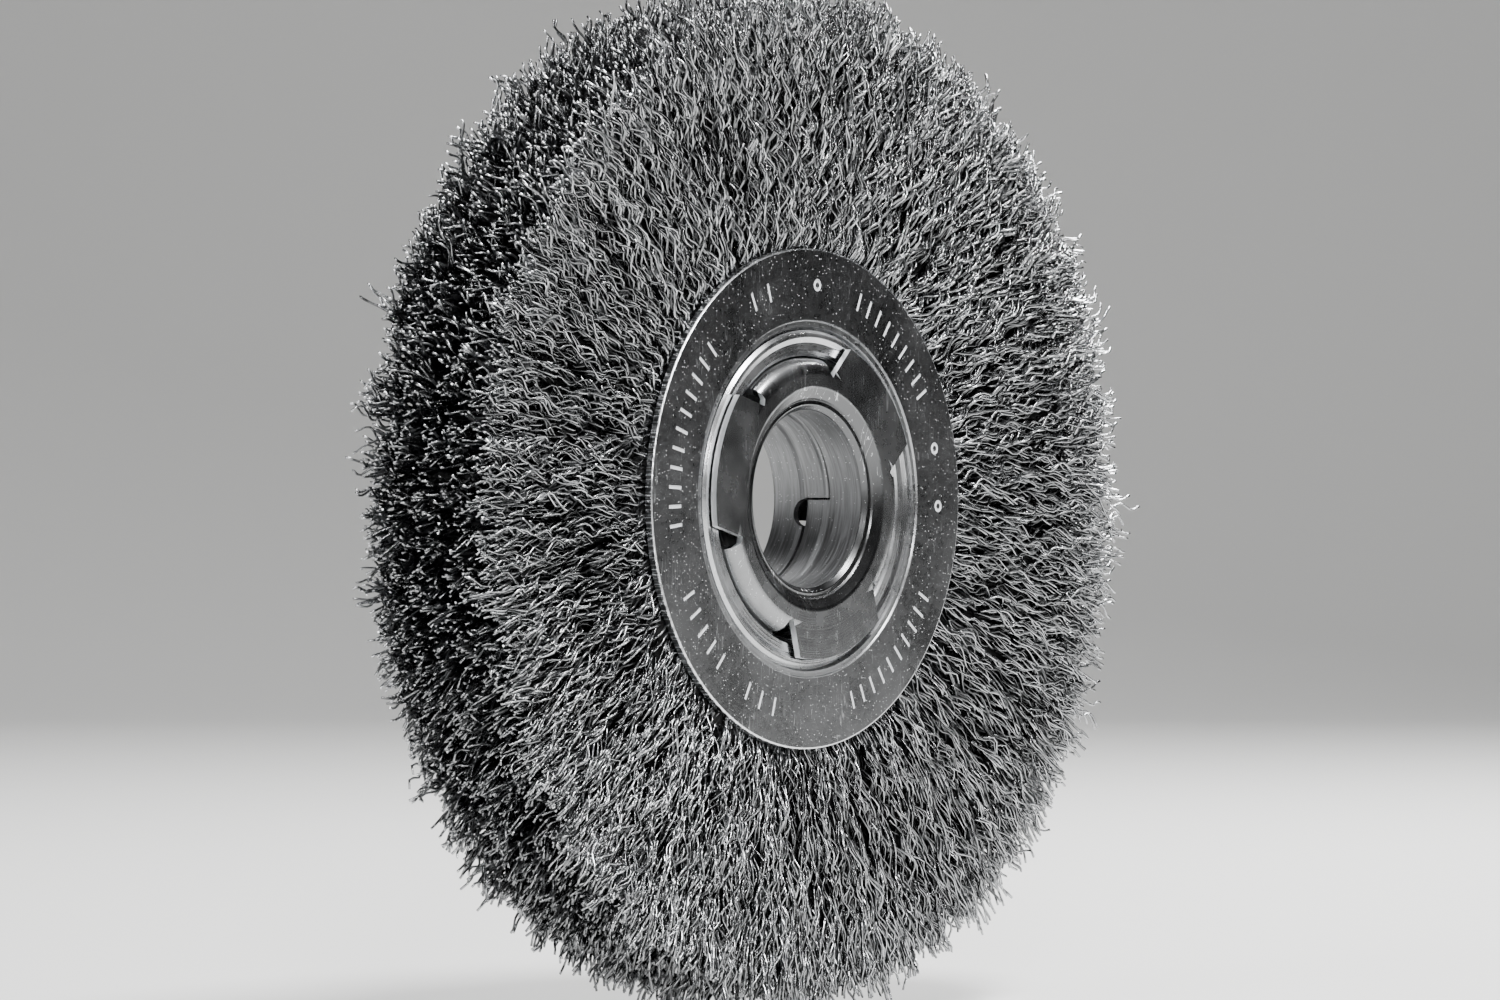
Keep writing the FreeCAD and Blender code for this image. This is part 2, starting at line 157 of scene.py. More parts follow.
def wire_lines(turn, start, length, share, sink):
    """Middle lines of crimped wires, as an array of wires by points by three coordinates.

    Each wire runs outwards from its start. A sine wave carries it from side to side in a plane of its
    own, a longer and weaker wave makes it wander, and it leans a little. Its height is a share of the
    packed wires' half width, less a parabola that sinks both its ends.
    """
    count = len(turn)
    along = np.linspace(0, 1, WIRE_POINTS)[None, :] * length[:, None]
    wave = FULL_TURN / (CRIMP_LENGTH * (1 + clumped(count, 0.10)))
    phase = clumped_between(count, 0, FULL_TURN) + rng.normal(0, 0.35, count)
    swing = CRIMP_DEPTH * np.sin(wave[:, None] * along + phase[:, None])
    swing = swing * (1 + clumped(count, 0.22) + rng.normal(0, 0.12, count))[:, None]
    plane = (0.7 + clumped(count, 0.7) + rng.normal(0, 0.3, count))[:, None]
    wander = WANDER_DEPTH * np.sin(FULL_TURN * along / WANDER_LENGTH + clumped_between(count, 0, FULL_TURN)[:, None])
    lean = (clumped(count, 0.17) + rng.normal(0, 0.09, count))[:, None]

    out = start[:, None] + along
    middle = np.linspace(-1, 1, WIRE_POINTS)[None, :]
    across = lean * along + wander + swing * np.cos(plane)
    height = share[:, None] * half_width(out) + swing * np.sin(plane)
    side = np.where(share < 0, -1.0, 1.0)[:, None]
    buried = np.where((middle < 0) & (start < PLATE_RADIUS)[:, None], 0.0, middle**2)
    height = height - side * sink[:, None] * buried
    height = height + (clumped(count, 0.05) + rng.normal(0, 0.03, count))[:, None] * along
    ceiling = PLATE_FRONT - 1.7 * MM + np.clip(out - PLATE_RADIUS - 0.4 * MM, 0, None) * 0.8
    height = np.clip(height, -ceiling, ceiling)
    angle = turn[:, None]
    x = out * np.sin(angle) + across * np.cos(angle)
    z = out * np.cos(angle) - across * np.sin(angle)
    return np.stack([x, -height, z], axis=2)


def depth_below(lines):
    """How deep each point of the lines lies under the brush's surface, from 0 at the surface to 1, fully painted
    shade.

    Depth under the rim counts for less, since light reaches further in between the tips.
    """
    radius = np.hypot(lines[:, :, 0], lines[:, :, 2])
    under_face = half_width(radius) - np.abs(lines[:, :, 1])
    under_rim = TIP_RADIUS - radius
    return np.clip(np.minimum(under_face, under_rim * 0.13 + 0.15 * MM) / PAINTED_SHADE_DEPTH, 0, 1)


def tubes(lines, radius):
    """Carry a small regular polygon along each line and close both its ends.

    Corner k of the polygon stands at angle k/n of a turn in the plane square to the line, whose axes
    are the line's direction crossed with Y, and that crossed with the direction.
    """
    count, points, _ = lines.shape
    direction = np.gradient(lines, axis=1)
    direction /= np.linalg.norm(direction, axis=2, keepdims=True)
    first = np.cross(direction, np.array([0.0, 1.0, 0.0]))
    first /= np.linalg.norm(first, axis=2, keepdims=True)
    second = np.cross(direction, first)
    angles = np.arange(WIRE_SIDES) * FULL_TURN / WIRE_SIDES
    corners = (
        lines[:, :, None, :]
        + radius * np.cos(angles)[None, None, :, None] * first[:, :, None, :]
        + radius * np.sin(angles)[None, None, :, None] * second[:, :, None, :]
    )
    base = (np.arange(count) * points * WIRE_SIDES)[:, None, None]
    step = (np.arange(points - 1) * WIRE_SIDES)[None, :, None]
    corner = np.arange(WIRE_SIDES)[None, None, :]
    follower = (corner + 1) % WIRE_SIDES
    quads = np.stack(
        [
            base + step + corner,
            base + step + follower,
            base + step + WIRE_SIDES + follower,
            base + step + WIRE_SIDES + corner,
        ],
        axis=3,
    ).reshape(-1, 4)
    first_end = base[:, 0, :] + np.arange(WIRE_SIDES)[::-1][None, :]
    last_end = base[:, 0, :] + (points - 1) * WIRE_SIDES + np.arange(WIRE_SIDES)[None, :]
    return corners.reshape(-1, 3), quads, np.concatenate([first_end, last_end])


def packed_middle(first_turn, low, high, ring_height):
    """Two closed legs of solid packing for the depth of a bundle, folded round its core ring: a dark fill for the
    shade between the wires.

    Each leg is a section turned about Y: it follows the wires' section set back from the surface, and
    has half of the ring's round passage cut from its flat side.
    """
    middle = (low + high) / 2
    setback = np.array([0.0, 0.9, 3.0, 3.4, 3.6]) * MM
    radii = np.array([28.3, 44.0, 50.0, 70.0, 80.0]) * MM
    vertices = []
    quads = []
    ends = []
    turns = first_turn + np.linspace(SIDE_GAP, FULL_TURN / BUNDLES - SIDE_GAP, 13)
    arc = np.linspace(0, math.pi, 9)
    ring = RING_WIRE + 0.05 * MM
    for edge in (low, high):
        outer = edge * half_width(radii)
        if abs(edge) > MIDDLE_ROW_SHARE + 0.01:
            outer = outer - np.sign(edge) * setback
        passage_radii = RING_RADIUS + ring * np.cos(arc)
        passage_heights = ring_height + np.sign(edge - middle) * ring * np.sin(arc)
        loop_radii = np.concatenate([radii, [radii[-1]], passage_radii, [radii[0]]])
        loop_heights = np.concatenate([outer, [middle * half_width(radii[-1])], passage_heights, [ring_height]])
        loop = np.stack([loop_radii, loop_heights], axis=1)
        size = len(loop)
        base = sum(len(part) for part in vertices)
        x = loop[None, :, 0] * np.sin(turns)[:, None]
        z = loop[None, :, 0] * np.cos(turns)[:, None]
        y = -np.broadcast_to(loop[None, :, 1], x.shape)
        vertices.append(np.stack([x, y, z], axis=2).reshape(-1, 3))
        row = (np.arange(len(turns) - 1) * size)[:, None]
        here = np.arange(size)[None, :]
        following = (here + 1) % size
        sheet = np.stack([row + here, row + following, row + size + following, row + size + here], axis=2)
        sheet = sheet.reshape(-1, 4) + base
        cap = np.arange(size) + base
        last = cap[::-1] + (len(turns) - 1) * size
        if edge > middle:
            sheet = sheet[:, ::-1]
            cap, last = cap[::-1], last[::-1]
        quads.append(sheet)
        ends += [cap[::-1], last[::-1]]
    return np.concatenate(vertices), np.concatenate(quads), ends


def mesh_of(name, vertices, faces_by_size, materials):
    """Put arrays of vertices and of faces, each array with its material's number, into a new mesh."""
    mesh = bpy.data.meshes.new(name)
    loops = np.concatenate([np.asarray(faces).ravel() for faces, _ in faces_by_size])
    totals = np.concatenate([np.full(len(faces), faces.shape[1]) for faces, _ in faces_by_size])
    numbers = np.concatenate([np.full(len(faces), number) for faces, number in faces_by_size])
    starts = np.concatenate([[0], np.cumsum(totals)[:-1]])
    mesh.vertices.add(len(vertices))
    mesh.vertices.foreach_set("co", vertices.astype(np.float32).ravel())
    mesh.loops.add(len(loops))
    mesh.loops.foreach_set("vertex_index", loops.astype(np.int32))
    mesh.polygons.add(len(totals))
    mesh.polygons.foreach_set("loop_start", starts.astype(np.int32))
    mesh.polygons.foreach_set("material_index", numbers.astype(np.int32))
    mesh.update(calc_edges=True)
    # Only the wires' long sides are smooth: their cut ends are flat.
    mesh.polygons.foreach_set("use_smooth", (numbers == 0) & (totals == 4))
    for material in materials:
        mesh.materials.append(material)
    return mesh


def bundle(row, number, low, high, materials):
    """One bundle of crimped wires, an eighth of a turn of one row, with its packed middle painted dark as shade."""
    packed_part = f"{row}_wires_{number}"
    lowest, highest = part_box(packed_part)
    centre = (lowest + highest) / 2
    middle_turn = math.atan2(centre.x, centre.z)
    first_turn = middle_turn - FULL_TURN / BUNDLES / 2
    ring_low, ring_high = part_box(f"{row}_core_ring")
    ring_height = -(ring_low.y + ring_high.y) / 2

    spread, level = even_pairs(RIM_WIRES)
    rim_turn = first_turn + spread * FULL_TURN / BUNDLES
    rim_share = low + (high - low) * level + rng.normal(0, 0.06, RIM_WIRES)
    rim_share = np.clip(rim_share, low, high)
    reach = tip_reach(rim_share, rim_turn) + ragged(RIM_WIRES)
    stray = rng.random(RIM_WIRES) < STRAY_SHARE
    reach = reach + stray * rng.uniform(1.0 * MM, 3.8 * MM, RIM_WIRES)
    rim_length = rng.uniform(10.0 * MM, 13.0 * MM, RIM_WIRES)
    beside = np.tile(np.arange(CLUMP) - 1, -(-RIM_WIRES // CLUMP))[:RIM_WIRES]
    rim_turn = rim_turn + (beside * 0.7 * MM + rng.normal(0, 0.3 * MM, RIM_WIRES)) / TIP_RADIUS
    lines = [wire_lines(rim_turn, reach - rim_length, rim_length, rim_share, np.zeros(RIM_WIRES))]
    # Cut tips are lighter: bare cut steel, with a painted highlight on the ends.
    tip_and_glint = [0.3 * rng.random(RIM_WIRES) ** 3]
    # Rim wires are painted darker, as shade, apart from those that turn into the face.
    towards_face = np.clip((np.abs(rim_share) - 0.6) / 0.4, 0, 1)
    tone_and_shade = [rng.random(RIM_WIRES) * (0.4 + 0.5 * towards_face)]

    if row != "middle":
        side = 1 if row == "front" else -1
        inner, outer = PLATE_RADIUS - UNDER_PLATE, TIP_RADIUS - SHORT_OF_TIPS
        spread, level = even_pairs(FACE_WIRES)
        turn = first_turn + spread * FULL_TURN / BUNDLES
        start = np.sqrt(inner**2 + (outer**2 - inner**2) * level) + rng.normal(0, 1.2 * MM, FACE_WIRES)
        length = rng.uniform(8.5 * MM, 13.5 * MM, FACE_WIRES)
        depth = np.abs(clumped(FACE_WIRES, 0.9 * MM)) + rng.uniform(0, 0.7 * MM, FACE_WIRES)
        share = side * (1 - depth / half_width(start))
        reach = tip_reach(share, turn) + ragged(FACE_WIRES)
        cut = start + length > reach
        length = np.where(cut, np.maximum(reach - start, 3 * MM), length)
        sink = np.where(cut, 0.0, rng.uniform(0.6 * MM, 1.5 * MM, FACE_WIRES))
        beside = np.tile(np.arange(CLUMP) - 1, -(-FACE_WIRES // CLUMP))[:FACE_WIRES]
        turn = turn + (beside * 0.5 * MM + rng.normal(0, 0.14 * MM, FACE_WIRES)) / start
        lines.append(wire_lines(turn, start, length, share, sink))
        tip_and_glint.append(cut.astype(float))
        tone_and_shade.append(rng.random(FACE_WIRES))

    lines = np.concatenate(lines)
    tip_and_glint = np.concatenate(tip_and_glint)
    points, quads, tips = tubes(lines, TUBE_RADIUS)
    deep_points, deep_quads, deep_ends = packed_middle(first_turn, low, high, ring_height)
    shift = len(points)
    faces = [(quads, 0), (tips, 0), (deep_quads + shift, 1)]
    faces += [(end[None, :] + shift, 1) for end in deep_ends]
    name = f"crimped_wires_{row}_{number}"
    mesh = mesh_of(name, np.concatenate([points, deep_points]), faces, materials)

    tone_and_shade = np.repeat(np.concatenate(tone_and_shade), WIRE_POINTS * WIRE_SIDES)
    last_points = np.zeros((len(lines), WIRE_POINTS, WIRE_SIDES))
    last_points[:, -1, :] = tip_and_glint[:, None]
    # How deep each point lies, which paints the wires darker as shade.
    depth = np.repeat(depth_below(lines).ravel(), WIRE_SIDES)
    for label, values in (("tone_and_shade", tone_and_shade), ("cut_tip_and_glint", last_points.ravel()), ("depth", depth)):
        attribute = mesh.attributes.new(label, "FLOAT", "POINT")
        padded = np.concatenate([values, np.zeros(len(deep_points))]).astype(np.float32)
        attribute.data.foreach_set("value", padded)

    piece = bpy.data.objects.new(name, mesh)
    bpy.context.collection.objects.link(piece)
    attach(piece, "brush")
    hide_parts(packed_part)
    return piece


# ---------------------------------------------------------------- steel finishes


def node(tree, kind, inputs=None, **settings):
    """Add a shader node with its settings, and link or set its inputs by name or number."""
    made = tree.nodes.new("ShaderNode" + kind)
    for key, value in settings.items():
        setattr(made, key, value)
    for key, value in (inputs or {}).items():
        if isinstance(value, bpy.types.NodeSocket):
            tree.links.new(value, made.inputs[key])
        else:
            made.inputs[key].default_value = value
    return made


def maths(tree, operation, first, second=0.0, third=0.0):
    """Work out one value from others."""
    return node(tree, "Math", {0: first, 1: second, 2: third}, operation=operation).outputs[0]


def band(tree, value, low, high, soft):
    """A mask that is 1 between two values and falls to 0 over a soft width outside them."""
    rise = node(tree, "MapRange", {"Value": value, "From Min": low - soft, "From Max": low})
    fall = node(tree, "MapRange", {"Value": value, "From Min": high + soft, "From Max": high})
    return maths(tree, "MULTIPLY", rise.outputs[0], fall.outputs[0])


def mixed(tree, mask, dark, light):
    """Blend two colours by a mask."""
    blend = node(tree, "Mix", {0: mask}, data_type="RGBA")
    for number, colour in ((6, dark), (7, light)):
        if isinstance(colour, bpy.types.NodeSocket):
            tree.links.new(colour, blend.inputs[number])
        else:
            blend.inputs[number].default_value = (*colour, 1.0)
    return blend.outputs[2]


def grey(level):
    """A neutral steel colour, a touch cooler than grey."""
    return (level * 0.985, level, level * 1.02)


def new_group(name, inputs, outputs):
    """Start a node group with named values in and out, and return it with its two end nodes."""
    group = bpy.data.node_groups.new(name, "ShaderNodeTree")
    for label, kind, default in inputs:
        socket = group.interface.new_socket(label, in_out="INPUT", socket_type=kind)
        if default is not None:
            socket.default_value = default
    for label, kind in outputs:
        group.interface.new_socket(label, in_out="OUTPUT", socket_type=kind)
    return group, group.nodes.new("NodeGroupInput"), group.nodes.new("NodeGroupOutput")


def wheel_place_group():
    """Where a point lies on the wheel: millimetres from the axis, turns round it, and millimetres from the middle."""
    group, _, end = new_group(
        "wheel_place",
        [],
        [("Radius", "NodeSocketFloat"), ("Turn", "NodeSocketFloat"), ("Height", "NodeSocketFloat")],
    )
    place = node(group, "TexCoord").outputs["Object"]
    parts = node(group, "SeparateXYZ", {0: place}).outputs
    across = maths(group, "MULTIPLY", parts[0], parts[0])
    squared = maths(group, "MULTIPLY_ADD", parts[2], parts[2], across)
    radius = maths(group, "MULTIPLY", maths(group, "SQRT", squared), 1000.0)
    turn = maths(group, "DIVIDE", maths(group, "ARCTAN2", parts[0], parts[2]), FULL_TURN)
    height = maths(group, "MULTIPLY", maths(group, "ABSOLUTE", parts[1]), 1000.0)
    for label, value in (("Radius", radius), ("Turn", turn), ("Height", height)):
        group.links.new(value, end.inputs[label])
    return group


def scratches_group():
    """Fine straight scratches in three directions: bands of stretched noise close to its middle value."""
    group, start, end = new_group(
        "fine_scratches",
        [("Spacing", "NodeSocketFloat", 900.0), ("Width", "NodeSocketFloat", 0.006)],
        [("Mask", "NodeSocketFloat")],
    )
    place = node(group, "TexCoord").outputs["Object"]
    total = 0.0
    for turn, offset in ((0.5, 0.0), (1.3, 3.1), (2.4, 7.7)):
        turned = node(
            group,
            "Mapping",
            {"Vector": place, "Rotation": (0, turn, 0), "Location": (offset, 0, 0), "Scale": (1, 0.4, 0.045)},
        )
        noise = node(
            group, "TexNoise", {"Vector": turned.outputs[0], "Scale": start.outputs["Spacing"], "Detail": 1.0}
        )
        near = maths(group, "ABSOLUTE", maths(group, "SUBTRACT", noise.outputs[0], 0.5))
        line = maths(group, "LESS_THAN", near, start.outputs["Width"])
        where = node(group, "TexNoise", {"Vector": place, "Scale": 90.0 + 40.0 * offset, "Detail": 1.0})
        kept = maths(group, "GREATER_THAN", where.outputs[0], 0.61)
        total = maths(group, "MAXIMUM", total, maths(group, "MULTIPLY", line, kept))
    group.links.new(total, end.inputs["Mask"])
    return group


def specks_group():
    """Small round specks: the middles of random cells, kept only in part of them."""
    group, start, end = new_group(
        "specks",
        [("Cells", "NodeSocketFloat", 1500.0), ("Size", "NodeSocketFloat", 0.16), ("Share", "NodeSocketFloat", 0.3)],
        [("Mask", "NodeSocketFloat")],
    )
    place = node(group, "TexCoord").outputs["Object"]
    cells = node(group, "TexVoronoi", {"Vector": place, "Scale": start.outputs["Cells"]})
    dot = maths(group, "LESS_THAN", cells.outputs["Distance"], start.outputs["Size"])
    chance = node(group, "SeparateColor", {0: cells.outputs["Color"]}).outputs[0]
    kept = maths(group, "LESS_THAN", chance, start.outputs["Share"])
    group.links.new(maths(group, "MULTIPLY", dot, kept), end.inputs["Mask"])
    return group


def turned_lines_group():
    """Fine rings left by turning or pressing: noise that changes only with distance from the axis and height."""
    group, start, end = new_group(
        "turned_lines",
        [("Radius", "NodeSocketFloat", 0.0), ("Height", "NodeSocketFloat", 0.0), ("Pitch", "NodeSocketFloat", 6.0)],
        [("Value", "NodeSocketFloat")],
    )
    ring = node(group, "CombineXYZ", {0: start.outputs["Radius"], 1: start.outputs["Height"]})
    noise = node(group, "TexNoise", {"Vector": ring.outputs[0], "Scale": start.outputs["Pitch"], "Detail": 2.0})
    group.links.new(noise.outputs[0], end.inputs["Value"])
    return group


def clouds_group():
    """Soft uneven patches, as handling and oil leave on steel."""
    group, start, end = new_group(
        "handling_clouds", [("Scale", "NodeSocketFloat", 60.0)], [("Value", "NodeSocketFloat")]
    )
    place = node(group, "TexCoord").outputs["Object"]
    noise = node(
        group, "TexNoise", {"Vector": place, "Scale": start.outputs["Scale"], "Detail": 5.0, "Roughness": 0.6}
    )
    spread = node(group, "MapRange", {"Value": noise.outputs[0], "From Min": 0.3, "From Max": 0.7})
    group.links.new(spread.outputs[0], end.inputs["Value"])
    return group


GROUPS = {
    "place": wheel_place_group(),
    "scratches": scratches_group(),
    "specks": specks_group(),
    "turned": turned_lines_group(),
    "clouds": clouds_group(),
}


def use(tree, name, inputs=None):
    """Place a shared group in a material, with its own values."""
    made = tree.nodes.new("ShaderNodeGroup")
    made.node_tree = GROUPS[name]
    for key, value in (inputs or {}).items():
        if isinstance(value, bpy.types.NodeSocket):
            tree.links.new(value, made.inputs[key])
        else:
            made.inputs[key].default_value = value
    return made.outputs


def new_material(name):
    """Start a material and return it with its tree and its metal shader."""
    material = bpy.data.materials.new(name)
    material.use_nodes = True
    shader = material.node_tree.nodes["Principled BSDF"]
    shader.inputs["Metallic"].default_value = 1.0
    return material, material.node_tree, shader


def link(tree, shader, **sockets):
    """Link values to the shader's sockets."""
    for label, value in sockets.items():
        tree.links.new(value, shader.inputs[label.replace("_", " ")])


def relief(tree, height, distance):
    """Turn a height into a bumped normal."""
    bump = node(tree, "Bump", {"Strength": 1.0, "Distance": distance, "Height": height})
    return bump.outputs[0]


def plate_finish():
    """Dark plated steel: clouded, finely scratched and dusty, with bright stamped marks and painted light on its rim.
    """
    material, tree, shader = new_material("dark_plated_steel")
    place = use(tree, "place")
    clouds = use(tree, "clouds", {"Scale": 55.0})[0]
    fine = use(tree, "clouds", {"Scale": 900.0})[0]
    scratches = use(tree, "scratches", {"Spacing": 850.0, "Width": 0.006})[0]
    dust = use(tree, "specks", {"Cells": 2000.0, "Size": 0.17, "Share": 0.3})[0]
    pits = use(tree, "specks", {"Cells": 3200.0, "Size": 0.25, "Share": 0.35})[0]

    sunk = maths(tree, "LESS_THAN", place["Height"], PLATE_FRONT / MM - 0.06)
    marks = maths(tree, "MULTIPLY", sunk, band(tree, place["Radius"], 36.0, 41.0, 0.1))
    # Painted highlight: a thin light band along the rim's rounded corner.
    rim_corner_highlight = maths(tree, "GREATER_THAN", place["Radius"], 44.66)
    wall = maths(tree, "GREATER_THAN", place["Radius"], 44.93)
    # Painted reflection: short light ticks on the rim's wall, for the wires mirrored in it.
    reflection_noise = node(
        tree, "TexNoise", {"W": maths(tree, "MULTIPLY", place["Turn"], 640.0), "Scale": 1.0}, noise_dimensions="1D"
    )
    wire_reflection = maths(tree, "MULTIPLY", wall, maths(tree, "GREATER_THAN", reflection_noise.outputs[0], 0.56))
    rings = use(tree, "turned", {"Radius": place["Radius"], "Height": place["Height"], "Pitch": 5.0})[0]
    seat = band(tree, place["Radius"], 29.4, 32.2, 0.1)

    colour = mixed(tree, clouds, grey(0.13), grey(0.21))
    colour = mixed(tree, maths(tree, "MULTIPLY", pits, 0.5), colour, grey(0.55))
    colour = mixed(tree, maths(tree, "MULTIPLY", scratches, 0.4), colour, grey(0.75))
    colour = mixed(tree, maths(tree, "MULTIPLY", seat, rings), colour, grey(0.6))
    # Painted highlight on the rim's corner, the wall's own colour, and painted reflections of the wires on the wall.
    colour = mixed(tree, rim_corner_highlight, colour, grey(0.75))
    colour = mixed(tree, wall, colour, grey(0.22))
    colour = mixed(tree, wire_reflection, colour, grey(0.8))
    matt = maths(tree, "MAXIMUM", marks, dust)
    colour = mixed(tree, matt, colour, grey(0.86))
    rough = maths(tree, "MULTIPLY_ADD", clouds, 0.12, 0.20)
    rough = maths(tree, "MULTIPLY_ADD", fine, 0.08, rough)
    rough = maths(tree, "MULTIPLY_ADD", matt, 0.35, rough)
    metal = maths(tree, "MULTIPLY_ADD", matt, -0.8, 1.0)
    height = maths(tree, "MULTIPLY_ADD", rings, 0.3, maths(tree, "MULTIPLY", fine, 0.5))
    height = maths(tree, "MULTIPLY_ADD", scratches, -0.6, height)
    height = maths(tree, "MULTIPLY_ADD", wire_reflection, 1.5, height)
    link(tree, shader, Base_Color=colour, Roughness=rough, Metallic=metal, Normal=relief(tree, height, 0.02 * MM))
    return material


def sleeve_finish():
    """Bright drawn steel, with fine rings round the beads and light scuffs in the bore."""
    material, tree, shader = new_material("bright_rolled_steel")
    place = use(tree, "place")
    clouds = use(tree, "clouds", {"Scale": 110.0})[0]
    scratches = use(tree, "scratches", {"Spacing": 700.0, "Width": 0.008})[0]
    rings = use(tree, "turned", {"Radius": place["Radius"], "Height": place["Height"], "Pitch": 4.5})[0]
    colour = mixed(tree, clouds, grey(0.42), grey(0.62))
    colour = mixed(tree, maths(tree, "MULTIPLY", scratches, 0.5), colour, grey(0.8))
    rough = maths(tree, "MULTIPLY_ADD", clouds, 0.10, 0.17)
    rough = maths(tree, "MULTIPLY_ADD", rings, 0.10, rough)
    height = maths(tree, "MULTIPLY_ADD", scratches, -0.4, rings)
    link(tree, shader, Base_Color=colour, Roughness=rough, Normal=relief(tree, height, 0.03 * MM))
    return material


def adaptor_finish():
    """Pressed steel: dark scuffed faces, bright sheared edges, painted shade, and a bore brushed round with painted
    highlight.
    """
    material, tree, shader = new_material("pressed_adaptor_steel")
    place = use(tree, "place")
    clouds = use(tree, "clouds", {"Scale": 80.0})[0]
    scratches = use(tree, "scratches", {"Spacing": 800.0, "Width": 0.007})[0]
    dust = use(tree, "specks", {"Cells": 2000.0, "Size": 0.16, "Share": 0.25})[0]
    rolled = band(tree, place["Height"], 2.5, 3.0, 1.1)
    rings = use(tree, "turned", {"Radius": place["Radius"], "Height": place["Height"], "Pitch": 4.0})[0]
    scratches = maths(tree, "MULTIPLY", scratches, maths(tree, "GREATER_THAN", place["Height"], 9.9))
    facing = node(tree, "SeparateXYZ", {0: node(tree, "TexCoord").outputs["Normal"]}).outputs[1]
    upright = maths(tree, "LESS_THAN", maths(tree, "ABSOLUTE", facing), 0.35)
    high = maths(tree, "GREATER_THAN", place["Height"], 10.95)
    outside = maths(tree, "GREATER_THAN", place["Radius"], 19.6)
    sheared = maths(tree, "MULTIPLY", maths(tree, "MULTIPLY", upright, high), outside)
    funnel_bend_shade = band(tree, place["Radius"], 15.9, 19.7, 0.5)
    shaded_groove = band(tree, place["Radius"], 17.35, 17.75, 0.35)
    bore = maths(tree, "LESS_THAN", place["Height"], 9.9)
    streak_place = node(
        tree,
        "CombineXYZ",
        {0: maths(tree, "MULTIPLY", place["Turn"], 14.0), 1: maths(tree, "MULTIPLY", place["Height"], 2.2)},
    )
    streaks = node(tree, "TexNoise", {"Vector": streak_place.outputs[0], "Scale": 1.0, "Detail": 3.0}).outputs[0]
    streaks = node(tree, "MapRange", {"Value": streaks, "From Min": 0.4, "From Max": 0.72}).outputs[0]
    streaks = maths(tree, "MULTIPLY", streaks, bore)

    colour = mixed(tree, clouds, grey(0.22), grey(0.34))
    # Painted shade: the funnel's bends, its groove and the bore are darker.
    colour = mixed(tree, funnel_bend_shade, colour, grey(0.13))
    colour = mixed(tree, shaded_groove, colour, grey(0.1))
    colour = mixed(tree, bore, colour, grey(0.2))
    # The bore's streaks are painted lighter: partly brushing marks, partly painted highlight.
    colour = mixed(tree, maths(tree, "MULTIPLY", streaks, 0.35), colour, grey(0.6))
    colour = mixed(tree, maths(tree, "MULTIPLY", scratches, 0.6), colour, grey(0.75))
    colour = mixed(tree, maths(tree, "MAXIMUM", sheared, dust), colour, grey(0.85))
    rough = maths(tree, "MULTIPLY_ADD", clouds, 0.12, 0.2)
    rough = maths(tree, "MULTIPLY_ADD", streaks, 0.12, rough)
    rough = maths(tree, "MULTIPLY_ADD", bore, 0.2, rough)
    rough = maths(tree, "MULTIPLY_ADD", sheared, 0.2, rough)
    height = maths(tree, "MULTIPLY_ADD", rings, 0.4, maths(tree, "MULTIPLY", streaks, 1.2))
    height = maths(tree, "MULTIPLY_ADD", scratches, -0.5, height)
    # The finger ends roll away from the bore at the seam between the two adaptors.
    height = maths(tree, "MULTIPLY_ADD", rolled, -16.0, height)
    height = maths(tree, "MULTIPLY_ADD", shaded_groove, -9.0, height)
    link(tree, shader, Base_Color=colour, Roughness=rough, Normal=relief(tree, height, 0.02 * MM))
    return material


def ring_finish():
    """Plain drawn wire rod, lightly oiled."""
    material, tree, shader = new_material("drawn_rod_steel")
    clouds = use(tree, "clouds", {"Scale": 160.0})[0]
    scratches = use(tree, "scratches", {"Spacing": 900.0, "Width": 0.01})[0]
    colour = mixed(tree, clouds, grey(0.25), grey(0.45))
    colour = mixed(tree, maths(tree, "MULTIPLY", scratches, 0.5), colour, grey(0.7))
    rough = maths(tree, "MULTIPLY_ADD", clouds, 0.2, 0.25)
    link(tree, shader, Base_Color=colour, Roughness=rough, Normal=relief(tree, clouds, 0.02 * MM))
    return material


def wire_finish():
    """Hard-drawn wire, with oxide patches, painted shade deep in the brush, and bright cut tips, partly painted
    highlight.

    Each wire is a little lighter or darker than the next, and the rim's wires are painted darker as shade.
    """
    material, tree, shader = new_material("crimped_wire_steel")
    tone_and_shade = node(tree, "Attribute", attribute_name="tone_and_shade").outputs["Fac"]
    tip = node(tree, "Attribute", attribute_name="cut_tip_and_glint").outputs["Fac"]
    depth = node(tree, "Attribute", attribute_name="depth").outputs["Fac"]
    clouds = use(tree, "clouds", {"Scale": 260.0})[0]
    # Each wire's random tone, with the rim's painted shade.
    colour = mixed(tree, tone_and_shade, grey(0.18), grey(0.85))
    colour = mixed(tree, maths(tree, "MULTIPLY", clouds, 0.4), colour, grey(0.22))
    # Painted shade: the deeper a wire lies under the brush's surface, the darker it is.
    colour = mixed(tree, depth, colour, grey(0.025))
    # Cut tips: bare cut steel, with a painted highlight.
    colour = mixed(tree, tip, colour, grey(0.6))
    rough = maths(tree, "MULTIPLY_ADD", clouds, 0.12, 0.2)
    link(tree, shader, Base_Color=colour, Roughness=rough)
    return material


